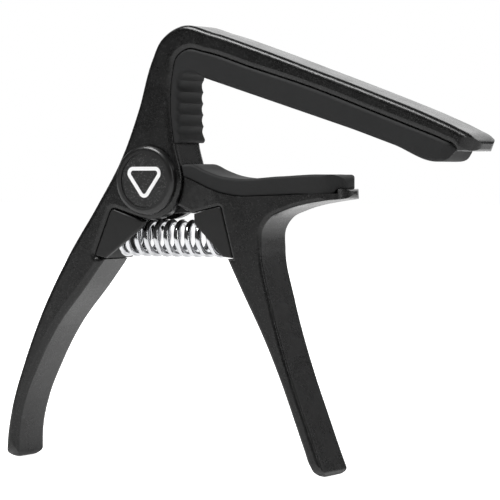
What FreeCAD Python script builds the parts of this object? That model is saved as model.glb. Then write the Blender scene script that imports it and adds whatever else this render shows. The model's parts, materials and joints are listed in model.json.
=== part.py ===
import FreeCAD, Part
import math
import os

# Trigger capo for a guitar neck, in millimetres, +Z up.
# The capo stands on its handle tips at z = 0, with X along the arms' reach and Y across them.
# Outlines are drawn in the XZ plane as (x, z) from the pivot axis; at() moves them into the part's frame.

# Driving dimensions
PIVOT_X = -17.04
PIVOT_Z = 53.0
OPENING_STOP_DEG = 35.0

ARM_WIDTH = 9.6
PAD_WIDTH = 9.0
FRAME_EDGE_ROUND = 1.1
CLAMP_EDGE_ROUND = 0.7
NOSE_ROUND = 1.25
FRAME_TIP_PLAN_R = 3.2
CLAMP_TIP_PLAN_R = 2.6
ARM_NOSE_PLAN_R = 3.0
JAW_NOSE_PLAN_R = 4.6
NECK_PAD_PLAN_R = 4.3
END_REACH = 40.0

LOBE_R = 7.3
RELIEF_R = 7.65
HUB_R = 6.2
HUB_WIDTH = 4.0
SLOT_R = 6.5
SLOT_WIDTH = 4.6
SLOT_ROOF_Z = 3.1
SLOT_MOUTH_X = 14.0

BOLT_R = 2.0
BOLT_THREAD_R = 1.5
BOLT_HEAD_R = 5.0
BOLT_HEAD_HEIGHT = 1.3
BOLT_SOCKET_FLATS = 3.0
BOLT_SOCKET_DEPTH = 2.0
RUNNING_GAP = 0.03
CHEEK_GAP = 0.05
SEAT_GAP = 0.02
BUSH_R = 3.0
COUNTERBORE_R = 4.8
COUNTERBORE_DEPTH = 1.5
NUT_FLATS = 5.5
NUT_HEIGHT = 1.4
LOCK_WASHER_HEIGHT = 0.3
LOCK_WASHER_R = 3.6
THRUST_WASHER_R = 5.4

CAP_R = 6.4
CAP_HEIGHT = 1.3
CAP_RIM_ROUND = 0.9
CAP_SPIGOT_R = 4.75
CAP_SPIGOT_WALL = 0.6
CAP_SPIGOT_LENGTH = 1.2
CAP_POCKET_R = 3.7
CAP_POCKET_DEPTH = 0.3
BADGE_R = 5.0
BADGE_RECESS = 0.45
BADGE_HEIGHT = 0.25
MARK_CORNER_R = 1.2
MARK_STROKE = 0.7
MARK_HEIGHT = 0.1

SPRING_START_X = -7.2
SPRING_END_X = 14.1
SPRING_Z = -10.7
SPRING_R = 2.95
SPRING_WIRE_R = 0.58
SPRING_TURNS = 10
SEAT_WIDTH = 9.3
SEAT_POCKET = 7.6
SEAT_BOSS_R = 2.1
SEAT_BOSS_LENGTH = 2.4
SEAT_STUD_R = 1.3
STUD_HOLE_REACH = 2.8
STUD_END_GAP = 0.15
SEAT_ROUND = 0.3

RIB_TOP_Z = 18.3
RIB_PITCH = 2.08
RIB_COUNT = 5
RIB_DEPTH = 0.4
LINING_X = 6.75
LINING_FOOT_Z = 6.9
BEAD_X = 7.0
PAD_ROUND = 1.0
NECK_PAD_ROUND = 0.6
NECK_PAD_CLEAR_R = 7.75

Y_AXIS = FreeCAD.Vector(0, 1, 0)
HALF_ARM = ARM_WIDTH / 2


def at(x, z, y=0.0):
    """A point given from the pivot axis, in the part's frame."""
    return FreeCAD.Vector(PIVOT_X + x, y, PIVOT_Z + z)


def line(start, end):
    """A straight edge between two (x, z) points."""
    return Part.LineSegment(at(*start), at(*end)).toShape()


def arc(start, middle, end):
    """A circular edge through three (x, z) points."""
    return Part.Arc(at(*start), at(*middle), at(*end)).toShape()


def curve(points, start_run, end_run):
    """Smooth edges through (x, z) points, one cubic per gap, between two end directions."""
    runs = [unit((0, 0), start_run)]
    for i in range(1, len(points) - 1):
        gap_before = math.dist(points[i - 1], points[i])
        gap_after = math.dist(points[i], points[i + 1])
        before = unit(points[i - 1], points[i])
        after = unit(points[i], points[i + 1])
        mixed = along((before[0] * gap_after, before[1] * gap_after), after, gap_before)
        runs.append(unit((0, 0), mixed))
    runs.append(unit((0, 0), end_run))
    edges = []
    for i in range(len(points) - 1):
        third = math.dist(points[i], points[i + 1]) / 3
        leaving = along(points[i], runs[i], third)
        arriving = along(points[i + 1], runs[i + 1], -third)
        cubic = Part.BezierCurve()
        cubic.setPoles([at(*points[i]), at(*leaving), at(*arriving), at(*points[i + 1])])
        edges.append(cubic.toShape())
    return edges


def on_circle(radius, degrees):
    """The (x, z) point on a circle about the pivot, counted from +X towards +Z."""
    angle = math.radians(degrees)
    return (radius * math.cos(angle), radius * math.sin(angle))


def slab(edges, low_y, high_y):
    """A solid of the closed outline between two depths."""
    wire = Part.Wire(Part.__sortEdges__(edges))
    wire.translate(FreeCAD.Vector(0, low_y, 0))
    return Part.Face(wire).extrude(FreeCAD.Vector(0, high_y - low_y, 0))


def polygon(points):
    """The straight edges of a closed (x, z) outline."""
    return [line(points[i - 1], points[i]) for i in range(len(points))]


def cylinder(radius, low_y, high_y, x=0.0, z=0.0):
    """A round bar along Y, centred x and z from the pivot."""
    return Part.makeCylinder(radius, high_y - low_y, at(x, z, low_y), Y_AXIS)


def hexagon(across_flats, low_y, high_y):
    """A six-sided bar along Y on the pivot axis."""
    corner_r = across_flats / math.sqrt(3)
    corners = [on_circle(corner_r, 60 * k) for k in range(6)]
    return slab(polygon(corners), low_y, high_y)


def tangent_point(radius, point, side):
    """Where a line from an outside (x, z) point touches a circle about the pivot; side is +1 or -1."""
    reach = math.hypot(point[0], point[1])
    turn = side * math.degrees(math.acos(radius / reach))
    return on_circle(radius, math.degrees(math.atan2(point[1], point[0])) + turn)


def middle_of(edge):
    """The (x, z) of an edge's middle, from the pivot."""
    spot = edge.valueAt((edge.FirstParameter + edge.LastParameter) / 2)
    return (spot.x - PIVOT_X, spot.z - PIVOT_Z)


def lies_at_depth(edge, depth):
    """True for an edge that lies in the plane y = depth."""
    return all(abs(edge.valueAt(t).y - depth) < 1e-6 for t in (edge.FirstParameter, edge.LastParameter))


def round_side(solid, depth, radius, chosen=None):
    """Rounds the edges of the side face at a depth, all of them or those whose middle is chosen."""
    edges = [e for e in solid.Edges if lies_at_depth(e, depth)]
    if chosen is not None:
        edges = [e for e in edges if chosen(*middle_of(e))]
    return solid.makeFillet(radius, edges)


def blunt_end(solid, end, run, radius, width=ARM_WIDTH):
    """Rounds the two corners of an end across its width; the end is an (x, z) and points along run."""
    corner = FreeCAD.Vector(-END_REACH, -width / 2, -END_REACH / 2)
    bar = Part.makeBox(END_REACH, width, END_REACH, corner)
    corners = [e for e in bar.Edges if is_upright_at_origin(e)]
    bar = bar.makeFillet(radius, corners)
    block = Part.makeBox(2 * radius, ARM_WIDTH + 2, END_REACH / 2,
                         FreeCAD.Vector(-radius, -HALF_ARM - 1, -END_REACH / 4))
    waste = block.cut(bar)
    waste.rotate(FreeCAD.Vector(0, 0, 0), Y_AXIS, -math.degrees(math.atan2(run[1], run[0])))
    waste.translate(at(*end))
    return solid.cut(waste)


def is_upright_at_origin(edge):
    """True for a straight edge along Z in the plane x = 0."""
    start = edge.valueAt(edge.FirstParameter)
    end = edge.valueAt(edge.LastParameter)
    return abs(start.x) < 1e-6 and abs(end.x) < 1e-6 and abs(start.y - end.y) < 1e-6


def round_corner(before, corner, after, radius):
    """The start, edge and end of the arc that rounds a corner between two straight runs."""
    to_before = unit(corner, before)
    to_after = unit(corner, after)
    half = math.acos(to_before[0] * to_after[0] + to_before[1] * to_after[1]) / 2
    setback = radius / math.tan(half)
    start = along(corner, to_before, setback)
    end = along(corner, to_after, setback)
    inward = unit((0, 0), (to_before[0] + to_after[0], to_before[1] + to_after[1]))
    middle = along(corner, inward, radius / math.sin(half) - radius)
    return start, arc(start, middle, end), end


def unit(start, end):
    """The direction from one (x, z) point to another, of length 1."""
    length = math.hypot(end[0] - start[0], end[1] - start[1])
    return ((end[0] - start[0]) / length, (end[1] - start[1]) / length)


def along(point, direction, distance):
    """The (x, z) point at a distance from another in a direction."""
    return (point[0] + direction[0] * distance, point[1] + direction[1] * distance)


# Outlines shared by pieces that meet, as (x, z) from the pivot
LOBE_FOOT_DEG = -106.1
LOBE_FOOT = on_circle(LOBE_R, LOBE_FOOT_DEG)
LOBE_TOP_DEG = 14.0
FRAME_NOTCH_TOP = along(LOBE_FOOT, unit(LOBE_FOOT, (-8.2, -5.22)), 6.43)
FRAME_NOTCH_FOOT = (-11.9, -14.0)
FRAME_HANDLE_START = (-10.2, -14.75)
CLAMP_CHIN = (9.4, -6.05)
CLAMP_NOTCH_TOP = (15.6, -4.65)
CLAMP_NOTCH_FOOT = (18.15, -14.1)
CLAMP_HANDLE_START = (17.0, -14.2)
FRAME_TIP = (-31.4, -53.0)
ARM_NOSE = (66.8, 6.3)
ARM_NOSE_RUN = (0.93, -0.37)
ARM_LIP_Z = 5.05
ARM_UNDERSIDE = [(62.9, ARM_LIP_Z), (62.4, 6.0), (60.9, 6.7), (54.0, 9.3), (44.8, 12.65), (35.0, 16.15),
                 (22.0, 20.15), (12.0, 23.2), (8.3, 23.75), (6.3, 22.5), (5.35, 19.2), (4.9, 14.3),
                 (5.25, 9.7), (5.7, LINING_FOOT_Z)]
WALL_RUN = (0.168, -0.986)
JAW_TOP = [on_circle(RELIEF_R, 5.5), (10.3, -0.3), (13.3, -1.6), (16.2, -2.45), (18.9, -2.85), (24.2, -2.8),
           (31.3, -2.55), (39.35, -2.3)]
JAW_LIP_TOP = (39.4, -1.5)
NECK_PAD_NOSE = (40.0, -1.5)
NECK_PAD_HEEL = (7.2, 3.05)
PAD_FLAT_START = (12.2, 18.45)
PAD_FLAT_END = (40.9, 9.5)
PAD_END = (62.4, 5.1)
JAW_NOSE = (40.9, -2.38)
JAW_NOSE_R = 0.88
CLAMP_TIP = (36.1, -52.8)
CLAMP_TIP_R = 0.85
CLAMP_HANDLE_RUN = (0.385, -0.923)


def frame_outline():
    """The closed outline of the string arm, the spine, the pivot lobe and the fixed handle."""
    lobe_top = on_circle(LOBE_R, LOBE_TOP_DEG)
    lobe_run = on_circle(1.0, LOBE_TOP_DEG - 90)
    nose = (ARM_NOSE[0] - NOSE_ROUND, ARM_NOSE[1])
    nose_foot = (nose[0], ARM_LIP_Z)
    top_in, top_edge, top_out = round_corner(LOBE_FOOT, FRAME_NOTCH_TOP, FRAME_NOTCH_FOOT, 0.9)
    foot_in, foot_edge, foot_out = round_corner(FRAME_NOTCH_TOP, FRAME_NOTCH_FOOT, FRAME_HANDLE_START, 0.5)
    return [
        *curve([(-32.7, -51.7), (-31.5, -43.4), (-28.5, -34.5), (-23.9, -24.0), (-17.7, -13.3),
                (-11.85, -4.9), (-6.3, 3.9), (-2.4, 13.0), (0.55, 22.0), (2.5, 25.65), (6.9, 28.2),
                (13.8, 26.8), (22.0, 24.2), (35.0, 19.65), (48.0, 15.0), (58.0, 11.2), (63.3, 8.9),
                (65.8, 7.55), ARM_NOSE], (0, 1), (0, -1)),
        arc(ARM_NOSE, along(nose, unit((0, 0), (1, -1)), NOSE_ROUND), nose_foot),
        line(nose_foot, ARM_UNDERSIDE[0]),
        *curve(ARM_UNDERSIDE, (-0.05, 1), WALL_RUN),
        *curve([ARM_UNDERSIDE[-1], lobe_top], WALL_RUN, lobe_run),
        arc(lobe_top, on_circle(LOBE_R, -40), LOBE_FOOT),
        line(LOBE_FOOT, top_in),
        top_edge,
        line(top_out, foot_in),
        foot_edge,
        line(foot_out, FRAME_HANDLE_START),
        *curve([FRAME_HANDLE_START, (-14.25, -19.7), (-20.9, -27.5), (-25.4, -35.0), (-28.6, -42.0),
                (-29.95, -47.5), (-30.1, -51.7)], (-0.65, -0.76), (0, -1)),
        arc((-30.1, -51.7), (-31.4, -53.0), (-32.7, -51.7)),
    ]


def clamp_outline():
    """The closed outline of the jaw, its web and the moving handle, outside the hinge."""
    relief_foot = on_circle(RELIEF_R, -36)
    chin_in, chin_edge, chin_out = round_corner(relief_foot, CLAMP_CHIN, CLAMP_NOTCH_TOP, 0.5)
    top_in, top_edge, top_out = round_corner(CLAMP_CHIN, CLAMP_NOTCH_TOP, CLAMP_NOTCH_FOOT, 0.6)
    heel = (CLAMP_TIP[0], CLAMP_TIP[1] + CLAMP_TIP_R)
    up_handle = unit(CLAMP_HANDLE_RUN, (0, 0))
    heel_right = along(heel, (up_handle[1], -up_handle[0]), CLAMP_TIP_R)
    nose = (JAW_NOSE[0] - JAW_NOSE_R, JAW_NOSE[1])
    nose_top = (nose[0], nose[1] + JAW_NOSE_R)
    nose_foot = along(nose, (0.2, -0.98), JAW_NOSE_R)
    return [
        arc(JAW_TOP[0], on_circle(RELIEF_R, -15), relief_foot),
        line(relief_foot, chin_in),
        chin_edge,
        line(chin_out, top_in),
        top_edge,
        line(top_out, CLAMP_NOTCH_FOOT),
        line(CLAMP_NOTCH_FOOT, CLAMP_HANDLE_START),
        *curve([CLAMP_HANDLE_START, (20.0, -19.9), (24.6, -28.4), (28.0, -35.7), (31.2, -43.6),
                (33.0, -48.1), (34.2, -50.9), CLAMP_TIP], (0.46, -0.89), (1, 0)),
        arc(CLAMP_TIP, along(heel, unit((0, 0), (1, -1)), CLAMP_TIP_R), heel_right),
        *curve([heel_right, (33.2, -42.4), (30.25, -34.8), (26.1, -21.6), (24.15, -12.5), (24.4, -8.6),
                (25.9, -6.7), (28.6, -5.5), (38.0, -3.5), nose_foot], up_handle, (0.98, 0.2)),
        arc(nose_foot, JAW_NOSE, nose_top),
        line(nose_top, JAW_LIP_TOP),
        line(JAW_LIP_TOP, JAW_TOP[-1]),
        *jaw_top_edges(),
    ]


def jaw_top_edges():
    """The face of the jaw that the neck pad is bonded to, from its lip to the hinge."""
    return curve(JAW_TOP, (0.93, -0.36), (1, 0.03))


def is_clear_of_bond(x, z):
    """True for a jaw edge that is not along the face the neck pad is bonded to."""
    return x < 7.6 or x > JAW_LIP_TOP[0] or z < -3.0


def is_on_string_face(x, z):
    """True for a string pad edge along the face that bears on the strings."""
    return x > 8.5 and z < 23.2 - 0.32 * x


def is_on_neck_face(x, z):
    """True for a neck pad edge along the face that bears on the neck."""
    return x > 8.0 and z > NECK_PAD_NOSE[1] + 0.1


def clevis_slot():
    """The space between the frame's two cheeks, cut back so that the hub can turn to its stop."""
    swing = math.radians(OPENING_STOP_DEG)
    stop_start = on_circle(SLOT_R, -90 - OPENING_STOP_DEG)
    stop_end = along(stop_start, (math.cos(swing), -math.sin(swing)), SLOT_MOUTH_X)
    roof = (math.sqrt(SLOT_R ** 2 - SLOT_ROOF_Z ** 2), SLOT_ROOF_Z)
    outline = [(0, 0), stop_start, stop_end, (SLOT_MOUTH_X, stop_end[1]), (SLOT_MOUTH_X, SLOT_ROOF_Z), roof]
    side = slab(polygon(outline), -SLOT_WIDTH / 2, SLOT_WIDTH / 2)
    return cylinder(SLOT_R, -SLOT_WIDTH / 2, SLOT_WIDTH / 2).fuse(side)


def seat_stud(x, direction, length, radius):
    """The stud that holds a spring seat in its casting, along X from the seat."""
    return Part.makeCylinder(radius, length, at(x, SPRING_Z), FreeCAD.Vector(direction, 0, 0))


def frame_arm():
    """String arm, spine, pivot clevis and fixed handle, one casting."""
    body = slab(frame_outline(), -HALF_ARM, HALF_ARM)
    for side in (-HALF_ARM, HALF_ARM):
        body = round_side(body, side, FRAME_EDGE_ROUND)
    body = blunt_end(body, FRAME_TIP, (0, -1), FRAME_TIP_PLAN_R)
    body = blunt_end(body, ARM_NOSE, ARM_NOSE_RUN, ARM_NOSE_PLAN_R)
    body = body.cut(clevis_slot())
    body = body.cut(cylinder(BOLT_R + CHEEK_GAP, -HALF_ARM - 1, HALF_ARM + 1))
    body = body.cut(cylinder(COUNTERBORE_R, -HALF_ARM - 1, -HALF_ARM + COUNTERBORE_DEPTH))
    return body.cut(seat_stud(-10.0, -1, STUD_HOLE_REACH, SEAT_STUD_R + SEAT_GAP))


def clamp_arm():
    """Jaw, web, hinge tongue and moving handle, one casting."""
    body = slab(clamp_outline(), -HALF_ARM, HALF_ARM)
    for side in (-HALF_ARM, HALF_ARM):
        body = round_side(body, side, CLAMP_EDGE_ROUND, is_clear_of_bond)
    body = blunt_end(body, CLAMP_TIP, (0, -1), CLAMP_TIP_PLAN_R)
    body = blunt_end(body, JAW_NOSE, (1, 0.05), JAW_NOSE_PLAN_R)
    upper = (7.9, 0.6)
    lower = (9.6, -5.8)
    tongue = slab(polygon([tangent_point(HUB_R, upper, 1), upper, (11, -1.5), lower,
                           tangent_point(HUB_R, lower, -1), (0, 0)]), -HUB_WIDTH / 2, HUB_WIDTH / 2)
    body = body.fuse([tongue, cylinder(HUB_R, -HUB_WIDTH / 2, HUB_WIDTH / 2)]).removeSplitter()
    body = body.cut(cylinder(BUSH_R + SEAT_GAP, -HALF_ARM, HALF_ARM))
    return body.cut(seat_stud(16.9, 1, STUD_HOLE_REACH, SEAT_STUD_R + SEAT_GAP))


def string_pad():
    """The soft moulding under the string arm, with the ribbed lining that runs down the spine."""
    half = PAD_WIDTH / 2
    foot = LINING_FOOT_Z
    pad_run = unit(PAD_FLAT_START, PAD_FLAT_END)
    last_crest = RIB_TOP_Z - (RIB_COUNT - 1) * RIB_PITCH
    edges = curve(ARM_UNDERSIDE, (-0.05, 1), WALL_RUN)
    edges.append(line(ARM_UNDERSIDE[-1], (LINING_X - RIB_DEPTH, foot)))
    edges.append(arc((LINING_X - RIB_DEPTH, foot), (BEAD_X, foot + 0.5), (LINING_X, foot + 1.1)))
    edges.append(arc((LINING_X, foot + 1.1), (LINING_X - RIB_DEPTH, (foot + 1.1 + last_crest) / 2),
                     (LINING_X, last_crest)))
    for k in range(RIB_COUNT - 1):
        low = last_crest + k * RIB_PITCH
        high = low + RIB_PITCH
        edges.append(arc((LINING_X, low), (LINING_X - RIB_DEPTH, (low + high) / 2), (LINING_X, high)))
    edges += curve([(LINING_X, RIB_TOP_Z), (7.1, 19.4), (8.2, 19.75), PAD_FLAT_START], (0, 1), pad_run)
    edges.append(line(PAD_FLAT_START, PAD_FLAT_END))
    edges += curve([PAD_FLAT_END, (50.5, 6.25), (59.2, 3.25), (60.6, 3.4), PAD_END], pad_run, (0.68, 0.73))
    edges.append(line(PAD_END, ARM_UNDERSIDE[0]))
    body = slab(edges, -half, half)
    for side in (-half, half):
        body = round_side(body, side, PAD_ROUND, is_on_string_face)
    return blunt_end(body, ARM_UNDERSIDE[0], ARM_NOSE_RUN, ARM_NOSE_PLAN_R, PAD_WIDTH)


def neck_pad():
    """The soft moulding on the jaw that bears on the back of the neck."""
    half = PAD_WIDTH / 2
    edges = jaw_top_edges()
    edges += polygon([JAW_TOP[-1], JAW_LIP_TOP, NECK_PAD_NOSE])[1:]
    edges += curve([NECK_PAD_NOSE, (39.95, -0.7), (39.55, 0.4), (38.55, 0.95), (37.0, 1.05), (28.0, 0.75), (18.3, 0.4),
                    (14.9, 0.9), (12.1, 1.8), (9.0, 3.0), NECK_PAD_HEEL], (0, 1), (-1, 0))
    edges.append(line(NECK_PAD_HEEL, JAW_TOP[0]))
    body = slab(edges, -half, half)
    for side in (-half, half):
        body = round_side(body, side, NECK_PAD_ROUND, is_on_neck_face)
    body = blunt_end(body, NECK_PAD_NOSE, (1, 0), NECK_PAD_PLAN_R, PAD_WIDTH)
    return body.cut(cylinder(NECK_PAD_CLEAR_R, -HALF_ARM, HALF_ARM))


def spring_seat(cheek, floor_top, floor_foot, pocket_side, casting, stud_x):
    """A moulded spring seat: two cheeks beside the coil, a floor with a boss inside the coil and a stud.

    The floor line runs between two (x, z) points; pocket_side is the direction of the coil, +1 or -1 in X.
    """
    half = SEAT_WIDTH / 2
    body = slab(polygon(cheek), -half, half)
    body = body.cut(slab(casting, -HALF_ARM, HALF_ARM))
    for side in (-half, half):
        body = round_side(body, side, SEAT_ROUND)
    run = unit(floor_top, floor_foot)
    high = along(floor_top, run, -SEAT_POCKET)
    low = along(floor_foot, run, SEAT_POCKET)
    reach = pocket_side * END_REACH / 2
    pocket = slab(polygon([high, low, (low[0] + reach, low[1]), (high[0] + reach, high[1])]),
                  -SEAT_POCKET / 2, SEAT_POCKET / 2)
    body = body.cut(pocket)
    slope = (floor_foot[0] - floor_top[0]) / (floor_foot[1] - floor_top[1])
    floor_x = floor_top[0] + slope * (SPRING_Z - floor_top[1])
    boss = Part.makeCylinder(SEAT_BOSS_R, SEAT_BOSS_LENGTH + 1, at(floor_x - pocket_side, SPRING_Z),
                             FreeCAD.Vector(pocket_side, 0, 0))
    stud = seat_stud(stud_x, -pocket_side, STUD_HOLE_REACH - STUD_END_GAP, SEAT_STUD_R)
    return body.fuse([boss, stud]).removeSplitter()


def frame_spring_seat():
    """The spring seat let into the frame."""
    cheek = [along(FRAME_NOTCH_TOP, (-0.9, 0.3), 1), (-12.6, -13.9), FRAME_NOTCH_FOOT, (-9.6, -14.5),
             (-1.1, -8.35), (-0.75, -7.6)]
    return spring_seat(cheek, (-7.6, -6.2), (-9.6, -14.5), 1, frame_outline(), -10.0)


def clamp_spring_seat():
    """The spring seat let into the moving arm."""
    cheek = [(9.9, -6.1), (10.0, -7.9), (16.1, -13.85), (18.6, -14.1), (16.0, -4.4)]
    return spring_seat(cheek, (14.5, -6.0), (16.1, -13.85), -1, clamp_outline(), 16.9)


def pivot_bolt():
    """Shoulder bolt through the clevis, with a domed socket head behind."""
    head_top = HALF_ARM + BOLT_HEAD_HEIGHT
    thread_end = -HALF_ARM - 0.1
    head = cylinder(BOLT_HEAD_R, HALF_ARM, head_top)
    rim = [e for e in head.Edges if lies_at_depth(e, head_top) and e.Closed]
    head = head.makeFillet(BOLT_HEAD_HEIGHT * 0.7, rim)
    shoulder = cylinder(BOLT_R, -HALF_ARM + COUNTERBORE_DEPTH, HALF_ARM)
    thread = cylinder(BOLT_THREAD_R, thread_end, -HALF_ARM + COUNTERBORE_DEPTH)
    socket = hexagon(BOLT_SOCKET_FLATS, head_top - BOLT_SOCKET_DEPTH, head_top + 1)
    return head.fuse([shoulder, thread]).removeSplitter().cut(socket)


def ring(outer_r, inner_r, low_y, high_y):
    """A flat ring about the pivot axis."""
    return cylinder(outer_r, low_y, high_y).cut(cylinder(inner_r, low_y - 1, high_y + 1))


def lock_washer():
    """The washer under the nut, in the front counterbore."""
    seat = -HALF_ARM + COUNTERBORE_DEPTH
    return ring(LOCK_WASHER_R, BOLT_THREAD_R + SEAT_GAP, seat - LOCK_WASHER_HEIGHT, seat)


def pivot_nut():
    """The nut on the bolt's end, under the front cap."""
    top = -HALF_ARM + COUNTERBORE_DEPTH - LOCK_WASHER_HEIGHT
    blank = hexagon(NUT_FLATS, top - NUT_HEIGHT, top)
    return blank.cut(cylinder(BOLT_THREAD_R + SEAT_GAP, top - NUT_HEIGHT - 1, top + 1))


def front_cap():
    """The round cap over the nut, with a spigot in the counterbore and a recess for the badge."""
    face = -HALF_ARM - CAP_HEIGHT
    plate = cylinder(CAP_R, face, -HALF_ARM)
    rim = [e for e in plate.Edges if lies_at_depth(e, face) and e.Closed]
    plate = plate.makeFillet(CAP_RIM_ROUND, rim)
    spigot = ring(CAP_SPIGOT_R, CAP_SPIGOT_R - CAP_SPIGOT_WALL, -HALF_ARM, -HALF_ARM + CAP_SPIGOT_LENGTH)
    plate = plate.fuse(spigot).removeSplitter()
    plate = plate.cut(cylinder(CAP_POCKET_R, -HALF_ARM - CAP_POCKET_DEPTH, -HALF_ARM + 1))
    return plate.cut(cylinder(BADGE_R, face - 1, face + BADGE_RECESS))


def badge_disc():
    """The textured disc in the cap's recess."""
    floor = -HALF_ARM - CAP_HEIGHT + BADGE_RECESS
    return cylinder(BADGE_R - SEAT_GAP, floor - BADGE_HEIGHT, floor)


def badge_mark():
    """A plain plectrum outline printed thick on the disc."""
    top = -HALF_ARM - CAP_HEIGHT + BADGE_RECESS - BADGE_HEIGHT
    wide = slab(polygon([(-4.8, 2.5), (4.8, 2.5), (0, -4.0)]), top - MARK_HEIGHT, top)
    faces = (top, top - MARK_HEIGHT)
    corners = [e for e in wide.Edges if not any(lies_at_depth(e, depth) for depth in faces)]
    wide = wide.makeFillet(MARK_CORNER_R, corners)
    front = [f for f in wide.Faces if abs(f.CenterOfMass.y - (top - MARK_HEIGHT)) < 1e-6][0]
    opening = front.makeOffset2D(-MARK_STROKE)
    return wide.cut(opening.extrude(FreeCAD.Vector(0, MARK_HEIGHT, 0)))


def pivot_bush():
    """The plain bearing bush in the hub."""
    return ring(BUSH_R, BOLT_R + RUNNING_GAP, -HUB_WIDTH / 2 + SEAT_GAP, HUB_WIDTH / 2 - SEAT_GAP)


def front_thrust_washer():
    """The thin washer between the front cheek and the hub."""
    return ring(THRUST_WASHER_R, BOLT_R + CHEEK_GAP, -SLOT_WIDTH / 2, -HUB_WIDTH / 2 - SEAT_GAP)


def rear_thrust_washer():
    """The thin washer between the hub and the rear cheek."""
    return ring(THRUST_WASHER_R, BOLT_R + CHEEK_GAP, HUB_WIDTH / 2 + SEAT_GAP, SLOT_WIDTH / 2)


def main_spring():
    """The compression coil between the two seats."""
    length = SPRING_END_X - SPRING_START_X
    path = Part.makeHelix(length / SPRING_TURNS, length, SPRING_R)
    section = Part.Wire(Part.makeCircle(SPRING_WIRE_R, FreeCAD.Vector(SPRING_R, 0, 0), Y_AXIS))
    coil = Part.Wire(path).makePipeShell([section], True, True)
    coil.rotate(FreeCAD.Vector(0, 0, 0), Y_AXIS, 90)
    coil.translate(at(SPRING_START_X, SPRING_Z))
    return coil


PIECES = [frame_arm, string_pad, frame_spring_seat, pivot_bolt, pivot_nut, lock_washer, front_cap,
          badge_disc, badge_mark, front_thrust_washer, rear_thrust_washer, main_spring, clamp_arm,
          pivot_bush, neck_pad, clamp_spring_seat]

os.makedirs("parts", exist_ok=True)
for piece in PIECES:
    shape = piece()
    print(piece.__name__, shape.isValid(), len(shape.Solids), round(shape.Volume, 1))
    shape.exportStep("parts/" + piece.__name__ + ".step")
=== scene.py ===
"""Trigger capo: finishes, the coil spring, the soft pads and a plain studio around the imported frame."""

import json
import logging
import math
from dataclasses import dataclass
from enum import Enum

import bmesh
import bpy
import numpy as np
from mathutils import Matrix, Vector

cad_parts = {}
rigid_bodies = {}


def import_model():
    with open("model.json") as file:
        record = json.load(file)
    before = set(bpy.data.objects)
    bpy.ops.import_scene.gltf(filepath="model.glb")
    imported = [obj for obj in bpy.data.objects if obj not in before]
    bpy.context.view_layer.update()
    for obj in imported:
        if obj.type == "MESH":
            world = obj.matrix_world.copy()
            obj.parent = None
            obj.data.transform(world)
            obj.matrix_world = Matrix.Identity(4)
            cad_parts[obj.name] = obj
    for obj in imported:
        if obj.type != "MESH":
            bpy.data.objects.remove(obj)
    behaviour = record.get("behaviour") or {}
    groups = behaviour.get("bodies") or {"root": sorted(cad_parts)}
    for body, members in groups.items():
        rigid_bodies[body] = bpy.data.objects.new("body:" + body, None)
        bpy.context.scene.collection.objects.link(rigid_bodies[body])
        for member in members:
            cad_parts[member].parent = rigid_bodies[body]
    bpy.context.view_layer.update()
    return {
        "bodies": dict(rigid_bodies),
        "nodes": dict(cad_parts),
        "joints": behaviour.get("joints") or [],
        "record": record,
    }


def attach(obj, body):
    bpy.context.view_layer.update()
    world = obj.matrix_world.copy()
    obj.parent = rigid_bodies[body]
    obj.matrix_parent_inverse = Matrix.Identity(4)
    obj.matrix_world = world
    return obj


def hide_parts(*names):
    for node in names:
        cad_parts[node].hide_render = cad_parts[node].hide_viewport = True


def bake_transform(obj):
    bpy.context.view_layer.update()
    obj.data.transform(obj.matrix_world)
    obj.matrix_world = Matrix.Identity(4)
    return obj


LOG = logging.getLogger("capo")
MM = 0.001
RGBA = tuple[float, float, float, float]
Point = tuple[float, float]


class Body(Enum):
    """The two rigid bodies that the hinge joins."""

    FRAME = "frame"
    CLAMP = "clamp"


def grey(level: float, tint: float = 0.0) -> RGBA:
    """A near neutral colour.

    Args:
        level: linear brightness from 0 to 1.
        tint: share by which blue is raised and red lowered.

    Returns:
        The colour as linear RGBA.
    """
    return (level * (1 - tint), level, level * (1 + tint), 1.0)


# ---------------------------------------------------------------- shader groups


class Shader:
    """A node tree with short calls for adding and joining nodes."""

    def __init__(self, tree: bpy.types.NodeTree) -> None:
        """Keeps the tree to build in."""
        self.tree = tree

    def add(self, kind: str, settings: dict[str, object] | None = None,
            values: dict[str | int, object] | None = None) -> bpy.types.Node:
        """Adds one node.

        Args:
            kind: the node type's identifier without its "ShaderNode" prefix.
            settings: node properties to set.
            values: input sockets to set or to link, by name or index.

        Returns:
            The new node.
        """
        node = self.tree.nodes.new("ShaderNode" + kind)
        for key, value in (settings or {}).items():
            setattr(node, key, value)
        for key, value in (values or {}).items():
            if isinstance(value, bpy.types.NodeSocket):
                self.tree.links.new(value, node.inputs[key])
            else:
                node.inputs[key].default_value = value
        return node

    def math(self, operation: str, first: object, second: object = 0.0) -> bpy.types.NodeSocket:
        """One arithmetic step; returns its output socket."""
        return self.add("Math", {"operation": operation}, {0: first, 1: second}).outputs[0]

    def remap(self, value: object, span: Point, to: Point, smooth: bool = False) -> bpy.types.NodeSocket:
        """A value moved from one span to another, clamped; returns its output socket."""
        kind = "SMOOTHSTEP" if smooth else "LINEAR"
        return self.add("MapRange", {"interpolation_type": kind},
                        {"Value": value, "From Min": span[0], "From Max": span[1],
                         "To Min": to[0], "To Max": to[1]}).outputs["Result"]

    def blend(self, mask: bpy.types.NodeSocket, first: object, second: object) -> bpy.types.NodeSocket:
        """Mixes two colours by a mask; returns the colour socket."""
        return self.add("Mix", {"data_type": "RGBA"}, {0: mask, 6: first, 7: second}).outputs[2]


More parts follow.
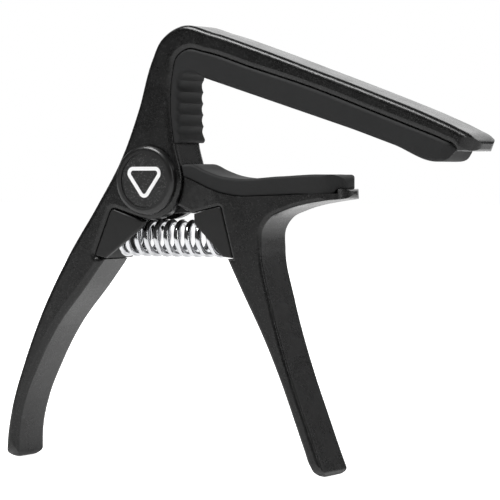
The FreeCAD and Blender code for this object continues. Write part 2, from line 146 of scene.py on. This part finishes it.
class Group:
    """A shader group with named float inputs and named outputs."""

    def __init__(self, name: str, inputs: dict[str, float], outputs: list[str]) -> None:
        """Makes the empty group.

        Args:
            name: the group's name.
            inputs: input sockets and their default values.
            outputs: float output sockets.
        """
        self.tree = bpy.data.node_groups.new(name, "ShaderNodeTree")
        for label, value in inputs.items():
            socket = self.tree.interface.new_socket(label, in_out="INPUT", socket_type="NodeSocketFloat")
            socket.default_value = value
        for label in outputs:
            self.tree.interface.new_socket(label, in_out="OUTPUT", socket_type="NodeSocketFloat")
        self.given = self.tree.nodes.new("NodeGroupInput").outputs
        self.result = self.tree.nodes.new("NodeGroupOutput").inputs
        self.shader = Shader(self.tree)

    def put(self, label: str, value: bpy.types.NodeSocket) -> None:
        """Joins a socket to one of the group's outputs."""
        self.tree.links.new(value, self.result[label])


class Effects:
    """The surface effects that several finishes share, each built once."""

    def __init__(self) -> None:
        """Builds the groups."""
        self.grain = self._grain()
        self.wear = self._wear()
        self.dust = self._dust()

    @staticmethod
    def _grain() -> bpy.types.NodeTree:
        """Fine cured-powder grain: soft cells for height, a slow drift and sparse bright specks."""
        group = Group("surface_grain", {"Scale": 4000.0, "Speck Cover": 0.1}, ["Height", "Drift", "Speck"])
        shader = group.shader
        place = shader.add("TexCoord").outputs["Object"]
        scale = group.given["Scale"]
        cells = shader.add("TexNoise", {},
                           {"Vector": place, "Scale": scale, "Detail": 2.0, "Roughness": 0.6})
        coarse = shader.math("MULTIPLY", scale, 0.27)
        broad = shader.add("TexNoise", {}, {"Vector": place, "Scale": coarse, "Detail": 1.0})
        height = shader.math("ADD", shader.math("MULTIPLY", cells.outputs["Fac"], 0.7),
                             shader.math("MULTIPLY", broad.outputs["Fac"], 0.5))
        group.put("Height", height)
        slow = shader.math("MULTIPLY", scale, 0.03)
        drift = shader.add("TexNoise", {}, {"Vector": place, "Scale": slow, "Detail": 3.0})
        group.put("Drift", drift.outputs["Fac"])
        flakes = shader.add("TexVoronoi", {}, {"Vector": place, "Scale": scale, "Randomness": 1.0})
        tone = shader.add("SeparateColor", {}, {"Color": flakes.outputs["Color"]}).outputs["Red"]
        edge = shader.math("SUBTRACT", 1.0, group.given["Speck Cover"])
        group.put("Speck", shader.math("GREATER_THAN", tone, edge))
        return group.tree

    @staticmethod
    def _wear() -> bpy.types.NodeTree:
        """Rubbed edges: the mesh's convex edges, broken up by noise."""
        group = Group("edge_wear", {"Sharpness": 0.56, "Break Up": 900.0}, ["Mask"])
        shader = group.shader
        point = shader.add("NewGeometry").outputs["Pointiness"]
        place = shader.add("TexCoord").outputs["Object"]
        noise = shader.add("TexNoise", {},
                           {"Vector": place, "Scale": group.given["Break Up"], "Detail": 3.0})
        over = shader.math("SUBTRACT", point, group.given["Sharpness"])
        ridge = shader.remap(over, (0.0, 0.08), (0.0, 1.0), smooth=True)
        patchy = shader.remap(noise.outputs["Fac"], (0.38, 0.66), (0.25, 1.0), smooth=True)
        group.put("Mask", shader.math("MULTIPLY", ridge, patchy))
        return group.tree

    @staticmethod
    def _dust() -> bpy.types.NodeTree:
        """A thin veil of dust on faces that look up, thicker in slow patches."""
        group = Group("dust_veil", {"Amount": 0.1, "Patch Scale": 160.0}, ["Mask"])
        shader = group.shader
        normal = shader.add("NewGeometry").outputs["Normal"]
        facing = shader.add("SeparateXYZ", {}, {"Vector": normal}).outputs["Z"]
        place = shader.add("TexCoord").outputs["Object"]
        noise = shader.add("TexNoise", {},
                           {"Vector": place, "Scale": group.given["Patch Scale"], "Detail": 6.0})
        upward = shader.remap(facing, (-0.1, 0.9), (0.15, 1.0), smooth=True)
        patch = shader.remap(noise.outputs["Fac"], (0.35, 0.7), (0.2, 1.0))
        amount = shader.math("MULTIPLY", upward, group.given["Amount"])
        group.put("Mask", shader.math("MULTIPLY", amount, patch))
        return group.tree


# ---------------------------------------------------------------- finishes


@dataclass(frozen=True)
class Finish:
    """One finish of the capo, with grain, drift, specks, wear and dust."""

    name: str
    base: RGBA
    drifted: RGBA
    roughness: Point
    grain_scale: float = 4000.0
    grain_depth: float = 0.00002
    bump: float = 0.3
    speck_cover: float = 0.0
    speck: RGBA = (0.1, 0.1, 0.1, 1.0)
    worn: RGBA = (0.05, 0.05, 0.05, 1.0)
    dust: float = 0.02
    metallic: float = 0.0
    ior: float = 1.5
    coat: float = 0.0

    def make(self, effects: Effects) -> bpy.types.Material:
        """Builds the material.

        Args:
            effects: the shared groups.

        Returns:
            The finished material.
        """
        material = bpy.data.materials.new(self.name)
        material.use_nodes = True
        shader = Shader(material.node_tree)
        principled = material.node_tree.nodes["Principled BSDF"]
        grain = shader.add("Group", {"node_tree": effects.grain},
                           {"Scale": self.grain_scale, "Speck Cover": self.speck_cover})
        wear = shader.add("Group", {"node_tree": effects.wear})
        dust = shader.add("Group", {"node_tree": effects.dust}, {"Amount": self.dust})
        colour = shader.blend(grain.outputs["Drift"], self.base, self.drifted)
        colour = shader.blend(grain.outputs["Speck"], colour, self.speck)
        colour = shader.blend(wear.outputs["Mask"], colour, self.worn)
        colour = shader.blend(dust.outputs["Mask"], colour, grey(0.45))
        links = material.node_tree.links
        links.new(colour, principled.inputs["Base Color"])
        mixed = shader.math("ADD", shader.math("MULTIPLY", grain.outputs["Drift"], 0.6),
                            shader.math("MULTIPLY", grain.outputs["Height"], 0.4))
        links.new(shader.remap(mixed, (0.35, 0.75), self.roughness), principled.inputs["Roughness"])
        bump = shader.add("Bump", {}, {"Strength": self.bump, "Distance": self.grain_depth,
                                       "Height": grain.outputs["Height"]})
        links.new(bump.outputs["Normal"], principled.inputs["Normal"])
        principled.inputs["Metallic"].default_value = self.metallic
        principled.inputs["IOR"].default_value = self.ior
        principled.inputs["Coat Weight"].default_value = self.coat
        return material


class Coating(Enum):
    """The finishes by the record's material slot."""

    POWDER_COAT = Finish("powder_coat", grey(0.0035), grey(0.006), (0.22, 0.36), grain_scale=7600.0,
                         grain_depth=0.00003, bump=0.5, speck_cover=0.08, speck=grey(0.025), worn=grey(0.02),
                         dust=0.01, ior=1.4)
    SILICONE = Finish("silicone", grey(0.009, 0.02), grey(0.013, 0.02), (0.6, 0.75), grain_scale=3000.0,
                      grain_depth=0.00002, bump=0.25, worn=grey(0.018), dust=0.02, ior=1.36)
    MOULDED_SEAT = Finish("moulded_seat", grey(0.005), grey(0.008), (0.42, 0.55), grain_scale=5200.0,
                          grain_depth=0.000015, bump=0.25, worn=grey(0.02), ior=1.4)
    CAP_PLASTIC = Finish("cap_plastic", grey(0.006), grey(0.008), (0.28, 0.38), grain_scale=5200.0,
                         grain_depth=0.00001, bump=0.15, worn=grey(0.02), dust=0.01)
    BADGE_FACE = Finish("badge_face", grey(0.004), grey(0.007), (0.3, 0.42), grain_scale=5600.0,
                        grain_depth=0.00008, bump=0.7, speck_cover=0.16, speck=grey(0.045), worn=grey(0.02))
    BADGE_PRINT = Finish("badge_print", grey(0.80), grey(0.88), (0.4, 0.5), grain_scale=3000.0,
                         grain_depth=0.00001, bump=0.1, worn=grey(0.8), dust=0.0)
    BLACK_STEEL = Finish("black_steel", grey(0.010), grey(0.014), (0.3, 0.42), grain_scale=5000.0,
                         grain_depth=0.00001, bump=0.2, worn=grey(0.08))
    BRONZE = Finish("bronze", (0.42, 0.23, 0.09, 1.0), (0.48, 0.28, 0.12, 1.0), (0.3, 0.42), metallic=1.0,
                    worn=(0.6, 0.38, 0.18, 1.0))
    ZINC_STEEL = Finish("zinc_steel", grey(0.42), grey(0.5), (0.28, 0.4), metallic=1.0, worn=grey(0.6))


@dataclass(frozen=True)
class SpringSteel:
    """Bright drawn wire: a clear metal with faint lines along the wire and a darker grime in slow random
    patches.
    """

    name: str = "spring_steel"
    base: RGBA = (0.62, 0.625, 0.64, 1.0)
    grime: RGBA = (0.30, 0.30, 0.31, 1.0)
    roughness: Point = (0.08, 0.2)

    def make(self, effects: Effects) -> bpy.types.Material:
        """Builds the material.

        Args:
            effects: the shared groups.

        Returns:
            The finished material.
        """
        material = bpy.data.materials.new(self.name)
        material.use_nodes = True
        shader = Shader(material.node_tree)
        principled = material.node_tree.nodes["Principled BSDF"]
        along = shader.add("UVMap", {"uv_map": "wire"}).outputs["UV"]
        drawn = shader.add("Mapping", {}, {"Vector": along, "Scale": (6.0, 60.0, 1.0)}).outputs["Vector"]
        lines = shader.add("TexNoise", {}, {"Vector": drawn, "Scale": 1.0, "Detail": 4.0}).outputs["Fac"]
        grain = shader.add("Group", {"node_tree": effects.grain}, {"Scale": 1500.0})
        mask = shader.remap(grain.outputs["Drift"], (0.5, 0.75), (0.0, 0.5))
        links = material.node_tree.links
        links.new(shader.blend(mask, self.base, self.grime), principled.inputs["Base Color"])
        links.new(shader.remap(lines, (0.3, 0.7), self.roughness), principled.inputs["Roughness"])
        bump = shader.add("Bump", {}, {"Strength": 0.12, "Distance": 0.00001, "Height": lines})
        links.new(bump.outputs["Normal"], principled.inputs["Normal"])
        principled.inputs["Metallic"].default_value = 1.0
        return material


class Workshop:
    """Holds the shared effects and hands each finish out, built once."""

    def __init__(self) -> None:
        """Builds the effects and every finish."""
        effects = Effects()
        self.materials = {item.value.name: item.value.make(effects) for item in Coating}
        steel = SpringSteel()
        self.materials[steel.name] = steel.make(effects)

    def dress(self, piece: bpy.types.Object, slot: str) -> None:
        """Gives a piece the finish of a record slot."""
        if piece.data.materials:
            for index in range(len(piece.data.materials)):
                piece.data.materials[index] = self.materials[slot]
        else:
            piece.data.materials.append(self.materials[slot])


# ---------------------------------------------------------------- geometry


def smooth_path(points: list[Point], start_run: Point, end_run: Point, step: float = 0.15) -> np.ndarray:
    """A smooth path through points, in millimetres.

    Each gap is a cubic whose end slopes are the directions to the neighbours, weighted to the nearer one.

    Args:
        points: the (x, z) points passed through.
        start_run: direction at the first point.
        end_run: direction at the last point.
        step: rough spacing of the samples.

    Returns:
        An (n, 2) array.
    """
    knots = np.array(points, float)
    gaps = np.diff(knots, axis=0)
    lengths = np.linalg.norm(gaps, axis=1)
    ways = gaps / lengths[:, None]
    inner = ways[:-1] * lengths[1:, None] + ways[1:] * lengths[:-1, None]
    runs = np.vstack([start_run, inner, end_run])
    runs /= np.linalg.norm(runs, axis=1)[:, None]
    stretches = []
    for index, length in enumerate(lengths):
        t = np.linspace(0, 1, max(4, int(length / step)), endpoint=False)[:, None]
        lead = knots[index] + runs[index] * length / 3
        trail = knots[index + 1] - runs[index + 1] * length / 3
        stretches.append((1 - t) ** 3 * knots[index] + 3 * t * (1 - t) ** 2 * lead
                         + 3 * t ** 2 * (1 - t) * trail + t ** 3 * knots[index + 1])
    return np.vstack(stretches + [knots[-1:]])


def resample(path: np.ndarray, count: int) -> np.ndarray:
    """The same path with evenly spaced points.

    Args:
        path: an (n, 2) array.
        count: how many points to return.

    Returns:
        A (count, 2) array.
    """
    run = np.concatenate([[0.0], np.cumsum(np.linalg.norm(np.diff(path, axis=0), axis=1))])
    even = np.linspace(0, run[-1], count)
    return np.column_stack([np.interp(even, run, path[:, axis]) for axis in range(path.shape[1])])


def grid_piece(name: str, points: np.ndarray, across: np.ndarray | None = None) -> bpy.types.Object:
    """A closed tube-like piece from rings of points, its two ends drawn together.

    Ring i, point j joins to its four neighbours, and the last point of a ring joins to the first.

    Args:
        name: the object's name.
        points: a (rings, points, 3) array in metres.
        across: optional (rings, 2) array, run along the tube and its unit, stored as the UV map "wire".

    Returns:
        The object, with outward faces and merged ends.
    """
    rings, count, _ = points.shape
    ring = np.arange(rings - 1)[:, None]
    spot = np.arange(count)[None, :]
    after = (spot + 1) % count
    quads = np.stack([ring * count + spot, ring * count + after,
                      (ring + 1) * count + after, (ring + 1) * count + spot], axis=-1).reshape(-1, 4)
    mesh = bpy.data.meshes.new(name)
    mesh.from_pydata(points.reshape(-1, 3).tolist(), [], quads.tolist())
    if across is not None:
        layer = mesh.uv_layers.new(name="wire")
        ring_index = np.broadcast_to(ring, (rings - 1, count))
        low = across[ring_index]
        high = across[ring_index + 1]
        near = np.broadcast_to(spot / count, (rings - 1, count))
        far = near + 1 / count
        uv = np.stack([np.stack([low, near], -1), np.stack([low, far], -1),
                       np.stack([high, far], -1), np.stack([high, near], -1)], axis=2)
        layer.data.foreach_set("uv", uv.reshape(-1).astype(np.float32))
    tidy_mesh(mesh)
    piece = bpy.data.objects.new(name, mesh)
    bpy.context.scene.collection.objects.link(piece)
    return piece


def tidy_mesh(mesh: bpy.types.Mesh) -> None:
    """Merges doubled points, drops empty faces, turns faces outwards and shades them smooth."""
    work = bmesh.new()
    work.from_mesh(mesh)
    bmesh.ops.remove_doubles(work, verts=work.verts, dist=1e-7)
    bmesh.ops.dissolve_degenerate(work, edges=work.edges, dist=1e-8)
    bmesh.ops.recalc_face_normals(work, faces=work.faces)
    work.to_mesh(mesh)
    work.free()
    mesh.shade_smooth()


@dataclass
class MainSpring:
    """The compression coil between the two seats."""

    pivot: Vector
    start_x: float = -7.2
    end_x: float = 14.1
    centre_z: float = -10.7
    coil_r: float = 2.95
    wire_r: float = 0.58
    turns: float = 10.2
    closed_pitch: float = 1.3
    pitch_growth: float = 0.14
    left_lean: float = math.tan(math.radians(13.0))
    right_lean: float = math.tan(math.radians(-11.5))
    closed_turns: float = 0.55
    opening_turns: float = 0.6
    leaning_turns: float = 2.2
    rings_per_turn: int = 56
    points_per_ring: int = 18
    dome_rings: int = 5
    dome_bulge: float = 0.5
    uv_scale: float = 0.2

    def wire_path(self) -> tuple[np.ndarray, np.ndarray]:
        """The wire's centre line.

        The coil turns evenly about X; each step forward is the local pitch, tight in the first and last turn
        and growing from left to right between them. Near an end a turn leans, x shifting with height, to lie
        on its seat.

        Returns:
            The (n, 3) centre line in millimetres from the pivot and the turn number at each point.
        """
        turn = np.linspace(0, self.turns, int(self.turns * self.rings_per_turn) + 1)
        share = turn / self.turns
        end_gap = np.minimum(turn, self.turns - turn)
        opening = np.clip((end_gap - self.closed_turns) / self.opening_turns, 0, 1)
        opening = opening * opening * (3 - 2 * opening)
        rate = opening * (1 + self.pitch_growth * (share - 0.5))
        tight = (1 - opening) * self.closed_pitch
        steps_open = np.concatenate([[0.0], np.cumsum((rate[1:] + rate[:-1]) / 2 * np.diff(turn))])
        steps_tight = np.concatenate([[0.0], np.cumsum((tight[1:] + tight[:-1]) / 2 * np.diff(turn))])
        length = self.end_x - self.start_x
        forward = steps_tight + steps_open * (length - steps_tight[-1]) / steps_open[-1]
        angle = 2 * math.pi * turn
        y = -self.coil_r * np.cos(angle)
        z = -self.coil_r * np.sin(angle)
        left_share = np.clip(1 - turn / self.leaning_turns, 0, 1) ** 1.5
        right_share = np.clip(1 - (self.turns - turn) / self.leaning_turns, 0, 1) ** 1.5
        lean = self.left_lean * left_share + self.right_lean * right_share
        x = self.start_x + forward + lean * z
        return np.column_stack([x, y, z + self.centre_z]), turn

    def build(self) -> bpy.types.Object:
        """Carries a round section along the wire and closes its ends with domes.

        At each centre point the section lies in the plane of the radial direction and its cross with the
        wire's run.

        Returns:
            The coil.
        """
        path, turn = self.wire_path()
        run = np.gradient(path, axis=0)
        run /= np.linalg.norm(run, axis=1)[:, None]
        angle = 2 * math.pi * turn
        radial = np.column_stack([np.zeros_like(angle), -np.cos(angle), -np.sin(angle)])
        radial -= run * np.sum(radial * run, axis=1)[:, None]
        radial /= np.linalg.norm(radial, axis=1)[:, None]
        side = np.cross(run, radial)
        rings = self.dome_rings
        dome = np.sin(np.linspace(0, math.pi / 2, rings))
        bulge = np.cos(np.linspace(0, math.pi / 2, rings)) * self.wire_r * self.dome_bulge
        first = path[:1] - run[:1] * bulge[:, None]
        last = path[-1:] + run[-1:] * bulge[::-1, None]
        centre = np.vstack([first, path[1:-1], last])
        size = np.concatenate([dome, np.ones(len(path) - 2), dome[::-1]])
        radial = np.vstack([np.repeat(radial[:1], rings, 0), radial[1:-1], np.repeat(radial[-1:], rings, 0)])
        side = np.vstack([np.repeat(side[:1], rings, 0), side[1:-1], np.repeat(side[-1:], rings, 0)])
        around = np.linspace(0, 2 * math.pi, self.points_per_ring, endpoint=False)
        offset = (np.cos(around)[None, :, None] * radial[:, None, :]
                  + np.sin(around)[None, :, None] * side[:, None, :])
        points = centre[:, None, :] + offset * (size * self.wire_r)[:, None, None]
        place = points * MM + np.array(self.pivot)[None, None, :]
        along = np.linspace(0, self.turns * 2 * math.pi * self.coil_r * self.uv_scale, len(centre))
        return grid_piece("coil_spring", place, along)

    def fit(self, workshop: Workshop) -> bpy.types.Object:
        """Builds the coil, dresses it, bakes its placement into the mesh and hides the imported spring node.
        """
        piece = self.build()
        workshop.dress(piece, "spring_steel")
        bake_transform(piece)
        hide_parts("main_spring")
        return piece


@dataclass
class SoftPad:
    """A soft moulding bonded to a casting along one side and rounded along its free side."""

    name: str
    node: str
    body: Body
    pivot: Vector
    half_width: float = 4.5
    edge_r: float = 1.0
    end: Point = (62.9, 5.05)
    end_run: Point = (0.93, -0.37)
    plan_r: float = 2.8

    def section(self, thickness: np.ndarray) -> tuple[np.ndarray, np.ndarray]:
        """The closed section at each station: a rectangle whose two free corners are quarter circles.

        Args:
            thickness: distance from the bonded to the free side at each station.

        Returns:
            Distances from the bonded side and depths, each (stations, points).
        """
        flank = np.linspace(0, 1, 7)
        corner = np.linspace(0, math.pi / 2, 8)
        radius = np.minimum(self.edge_r, thickness * 0.48)[:, None]
        deep = thickness[:, None]
        front_d = flank[None, :-1] * (deep - radius)
        front_y = np.broadcast_to(-self.half_width, front_d.shape)
        arc_d = deep - radius + radius * np.sin(corner)
        arc_y = -self.half_width + radius - radius * np.cos(corner)
        crown = np.linspace(-1, 1, 11)[1:-1]
        free_y = crown[None, :] * (self.half_width - radius)
        free_d = np.broadcast_to(deep, free_y.shape)
        bond_y = np.linspace(1, -1, 8)[1:-1][None, :] * self.half_width
        bond_y = np.broadcast_to(bond_y, (len(thickness), 6))
        d = np.hstack([front_d, arc_d, free_d, arc_d[:, ::-1], front_d[:, ::-1], np.zeros_like(bond_y)])
        y = np.hstack([front_y, arc_y, free_y, -arc_y[:, ::-1], -front_y, bond_y])
        return d, y

    def build(self, bonded: np.ndarray, free: np.ndarray) -> bpy.types.Object:
        """Carries the section from the first station to the last.

        A point at distance d from the bonded side lies on the straight line between the two sides' points.

        Args:
            bonded: (n, 2) points in millimetres along the casting.
            free: (n, 2) points along the free side.

        Returns:
            The pad.
        """
        span = free - bonded
        thickness = np.linalg.norm(span, axis=1)
        way = span / thickness[:, None]
        d, y = self.section(thickness)
        flat = bonded[:, None, :] + way[:, None, :] * d[:, :, None]
        y = np.clip(y, -self.reach_across(flat), self.reach_across(flat))
        rings = np.stack([flat[..., 0], y, flat[..., 1]], axis=-1)
        rings = np.concatenate([self._cap(rings[0]), rings, self._cap(rings[-1])[::-1]], axis=0)
        place = rings * MM + np.array(self.pivot)[None, None, :]
        return grid_piece(self.name, place)

    def reach_across(self, flat: np.ndarray) -> np.ndarray:
        """Half the pad's width at each point, less near its end, where the corners are rounded from above.

        Args:
            flat: (stations, points, 2) points in millimetres.

        Returns:
            Half widths, (stations, points).
        """
        run = np.array(self.end_run) / np.hypot(*self.end_run)
        past = (flat - np.array(self.end)) @ run + self.plan_r
        inside = np.clip(self.plan_r ** 2 - np.clip(past, 0, self.plan_r) ** 2, 0, None)
        return self.half_width - self.plan_r + np.sqrt(inside)

    @staticmethod
    def _cap(ring: np.ndarray) -> np.ndarray:
        """Rings that shrink an end ring to its middle."""
        middle = ring.mean(axis=0)
        share = np.array([0.0, 0.5, 0.9])[:, None, None]
        return middle + (ring - middle)[None] * share

    def fit(self, piece: bpy.types.Object, workshop: Workshop) -> bpy.types.Object:
        """Dresses the pad and puts it on its body in the node's place."""
        workshop.dress(piece, "silicone")
        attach(piece, self.body.value)
        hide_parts(self.node)
        return piece


@dataclass
class StringPad(SoftPad):
    """The pad under the string arm with the ribbed lining down the spine."""

    rib_top: float = 18.3
    rib_pitch: float = 2.08
    rib_count: int = 5
    rib_depth: float = 0.4
    points_per_rib: int = 28
    lining_x: float = 6.75
    foot_z: float = 6.9
    flat_start: Point = (12.2, 18.45)
    flat_end: Point = (40.9, 9.5)

    def free_side(self) -> np.ndarray:
        """Up the ribbed lining, round the inner corner, along the flat face and up the blunt end."""
        last = self.rib_top - (self.rib_count - 1) * self.rib_pitch
        height = np.linspace(last, self.rib_top, self.rib_count * self.points_per_rib)
        phase = ((height - last) / self.rib_pitch) % 1.0
        scallop = 1 - (2 * phase - 1) ** 2
        ribs = np.column_stack([self.lining_x - self.rib_depth * scallop, height])
        foot = smooth_path([(6.35, self.foot_z), (7.0, self.foot_z + 0.5), (6.72, self.foot_z + 1.15),
                            (6.36, 8.95), (self.lining_x, last - 0.01)], (1, 0), (0.5, 1))
        flat_run = (28.7, -8.95)
        corner = smooth_path([(self.lining_x, self.rib_top + 0.01), (7.1, 19.4), (8.2, 19.75),
                              self.flat_start], (0, 1), flat_run)
        flat = resample(np.array([self.flat_start, self.flat_end]), 60)
        end = smooth_path([self.flat_end, (50.5, 6.25), (59.2, 3.25), (60.6, 3.4), (62.35, 5.06)],
                          flat_run, (0.68, 0.73))
        return np.vstack([foot, ribs, corner, flat[1:-1], end])

    def bonded_side(self, count: int) -> np.ndarray:
        """The casting's inner outline from the lining's foot to the lip."""
        path = smooth_path([(5.7, self.foot_z), (5.25, 9.7), (4.9, 14.3), (5.35, 19.2), (6.3, 22.5),
                            (8.3, 23.75), (12.0, 23.2), (22.0, 20.15), (35.0, 16.15), (44.8, 12.65),
                            (54.0, 9.3), (60.9, 6.7), (62.4, 6.0), (62.75, 5.4)],
                           (-0.168, 0.986), (0.05, -1))
        return resample(path, count)

    def make(self, workshop: Workshop) -> bpy.types.Object:
        """Builds and fits the pad.

        The marks pair distances along the free side with distances along the bonded side, so that the two
        inner corners and the two ends face each other.
        """
        free = self.free_side()
        path = self.bonded_side(4000)
        run = np.concatenate([[0.0], np.cumsum(np.linalg.norm(np.diff(free, axis=0), axis=1))])
        marks_free = [0.0, 11.6, 14.4, 54.5, run[-1]]
        total = np.linalg.norm(np.diff(path, axis=0), axis=1).sum()
        marks_bonded = [0.0, 11.6, 18.6, total - 3.6, total]
        station = np.interp(run, marks_free, marks_bonded) / total * (len(path) - 1)
        index = np.arange(len(path))
        bonded = np.column_stack([np.interp(station, index, path[:, axis]) for axis in (0, 1)])
        return self.fit(self.build(bonded, free), workshop)


@dataclass
class NeckPad(SoftPad):
    """The curved pad on the jaw."""

    edge_r: float = 0.6
    end: Point = (40.0, 0.0)
    end_run: Point = (1.0, 0.0)
    plan_r: float = 4.1

    def make(self, workshop: Workshop) -> bpy.types.Object:
        """Builds and fits the pad."""
        bonded = smooth_path([(7.75, 0.72), (10.3, -0.3), (13.3, -1.6), (16.2, -2.45), (18.9, -2.85),
                              (24.2, -2.8), (31.3, -2.55), (38.4, -2.32), (39.0, -1.48), (39.9, -1.46)],
                             (0.93, -0.36), (1, 0.0))
        free = smooth_path([(7.2, 2.9), (9.0, 3.0), (12.1, 1.8), (14.9, 0.9), (18.3, 0.4), (28.0, 0.75),
                            (37.0, 1.05), (38.55, 0.95), (39.55, 0.4), (39.95, -0.7), (39.95, -1.0)],
                           (1, 0.05), (0, -1))
        count = 260
        return self.fit(self.build(resample(bonded, count), resample(free, count)), workshop)


class Castings:
    """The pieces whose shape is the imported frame's, dressed in place."""

    def __init__(self, frame: dict[str, object]) -> None:
        """Reads each node's slot from the record.
        """
        self.nodes: dict[str, bpy.types.Object] = frame["nodes"]
        self.slots = {part["node"]: part["material_slot"] for part in frame["record"]["subparts"]}

    def dress(self, workshop: Workshop) -> None:
        """Gives every node the finish of its slot."""
        for name, piece in self.nodes.items():
            workshop.dress(piece, self.slots[name])
            LOG.info("dressed %s in %s", name, self.slots[name])


# ---------------------------------------------------------------- studio


@dataclass(frozen=True)
class Softbox:
    """One rectangular light aimed at the capo."""

    name: str
    azimuth: float
    elevation: float
    distance: float
    size: Point
    power: float

    def place(self, target: Vector) -> None:
        """Adds the light; azimuth 0 is in front of the capo and turns towards its right."""
        light = bpy.data.lights.new(self.name, "AREA")
        light.shape = "RECTANGLE"
        light.size, light.size_y = self.size
        light.energy = self.power
        lamp = bpy.data.objects.new(self.name, light)
        side = math.radians(self.azimuth)
        rise = math.radians(self.elevation)
        away = Vector((math.sin(side) * math.cos(rise), -math.cos(side) * math.cos(rise), math.sin(rise)))
        lamp.location = target + away * self.distance
        lamp.rotation_euler = away.to_track_quat("Z", "Y").to_euler()
        lamp.visible_camera = False
        bpy.context.scene.collection.objects.link(lamp)


@dataclass
class Studio:
    """Pale floor, soft lights and the camera."""

    target: Vector
    azimuth: float = 31.0
    elevation: float = 1.65
    distance: float = 0.455
    lens: float = 180.0
    floor_half: float = 4.0
    floor_glow: float = 0.4
    surround: float = 0.055
    softboxes: tuple[Softbox, ...] = (
        Softbox("back_wall", 205.0, 22.0, 1.1, (1.3, 0.9), 5.5),
        Softbox("top_box", -35.0, 62.0, 0.9, (0.5, 0.3), 9.0),
        Softbox("right_box", 132.0, 10.0, 0.9, (0.5, 0.9), 1.4),
        Softbox("edge_strip", 68.0, 18.0, 1.0, (0.12, 0.9), 1.6),
    )

    def build_floor(self, workshop: Workshop) -> None:
        """A flat pale floor at z = 0, mottled white, that glows more to the eye than to the capo."""
        half = self.floor_half
        mesh = bpy.data.meshes.new("floor")
        corners = np.array([(-half, -half, 0), (half, -half, 0), (half, half, 0), (-half, half, 0)])
        mesh.from_pydata(corners.tolist(), [], [(0, 1, 2, 3)])
        floor = bpy.data.objects.new("floor", mesh)
        bpy.context.scene.collection.objects.link(floor)
        material = bpy.data.materials.new("floor_paper")
        material.use_nodes = True
        shader = Shader(material.node_tree)
        place = shader.add("TexCoord").outputs["Object"]
        noise = shader.add("TexNoise", {}, {"Vector": place, "Scale": 40.0, "Detail": 4.0}).outputs["Fac"]
        colour = shader.blend(noise, grey(0.86), grey(0.9))
        principled = material.node_tree.nodes["Principled BSDF"]
        material.node_tree.links.new(colour, principled.inputs["Base Color"])
        principled.inputs["Roughness"].default_value = 0.8
        seen = shader.add("LightPath").outputs["Is Camera Ray"]
        glow = shader.remap(seen, (0.0, 1.0), (self.floor_glow, 1.0))
        material.node_tree.links.new(glow, principled.inputs["Emission Strength"])
        principled.inputs["Emission Color"].default_value = grey(1.0)
        mesh.materials.append(material)

    def build_world(self) -> None:
        """A white backdrop to the eye and a dimmer white surround to the surfaces."""
        world = bpy.data.worlds.new("studio")
        world.use_nodes = True
        bpy.context.scene.world = world
        shader = Shader(world.node_tree)
        background = world.node_tree.nodes["Background"]
        seen = shader.add("LightPath").outputs["Is Camera Ray"]
        background.inputs["Color"].default_value = grey(1.0)
        strength = shader.remap(seen, (0.0, 1.0), (self.surround, 1.0))
        world.node_tree.links.new(strength, background.inputs["Strength"])

    def build_camera(self) -> None:
        """A long lens looking slightly down at the capo from the front right."""
        side = math.radians(self.azimuth)
        rise = math.radians(self.elevation)
        away = Vector((math.sin(side) * math.cos(rise), -math.cos(side) * math.cos(rise), math.sin(rise)))
        data = bpy.data.cameras.new("camera")
        data.lens = self.lens
        data.sensor_width = 36.0
        data.clip_start = 0.01
        camera = bpy.data.objects.new("camera", data)
        camera.location = self.target + away * self.distance
        camera.rotation_euler = away.to_track_quat("Z", "Y").to_euler()
        bpy.context.scene.collection.objects.link(camera)
        bpy.context.scene.camera = camera

    def build(self, workshop: Workshop) -> None:
        """Builds floor, lights, surround and camera."""
        self.build_floor(workshop)
        for box in self.softboxes:
            box.place(self.target)
        self.build_world()
        self.build_camera()
        bpy.context.scene.view_settings.view_transform = "Standard"


def main() -> None:
    """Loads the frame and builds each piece."""
    logging.basicConfig(level=logging.INFO, format="%(name)s: %(message)s")
    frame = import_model()
    pivot = Vector(frame["joints"][0]["pos_m"])
    workshop = Workshop()
    Castings(frame).dress(workshop)
    spring = MainSpring(pivot).fit(workshop)
    LOG.info("built %s", spring.name)
    string_pad = StringPad("string_pad_moulding", "string_pad", Body.FRAME, pivot).make(workshop)
    LOG.info("built %s", string_pad.name)
    neck_pad = NeckPad("neck_pad_moulding", "neck_pad", Body.CLAMP, pivot).make(workshop)
    LOG.info("built %s", neck_pad.name)
    Studio(pivot + Vector((19.138, 0, -12.658)) * MM).build(workshop)


if __name__ == "__main__":
    main()
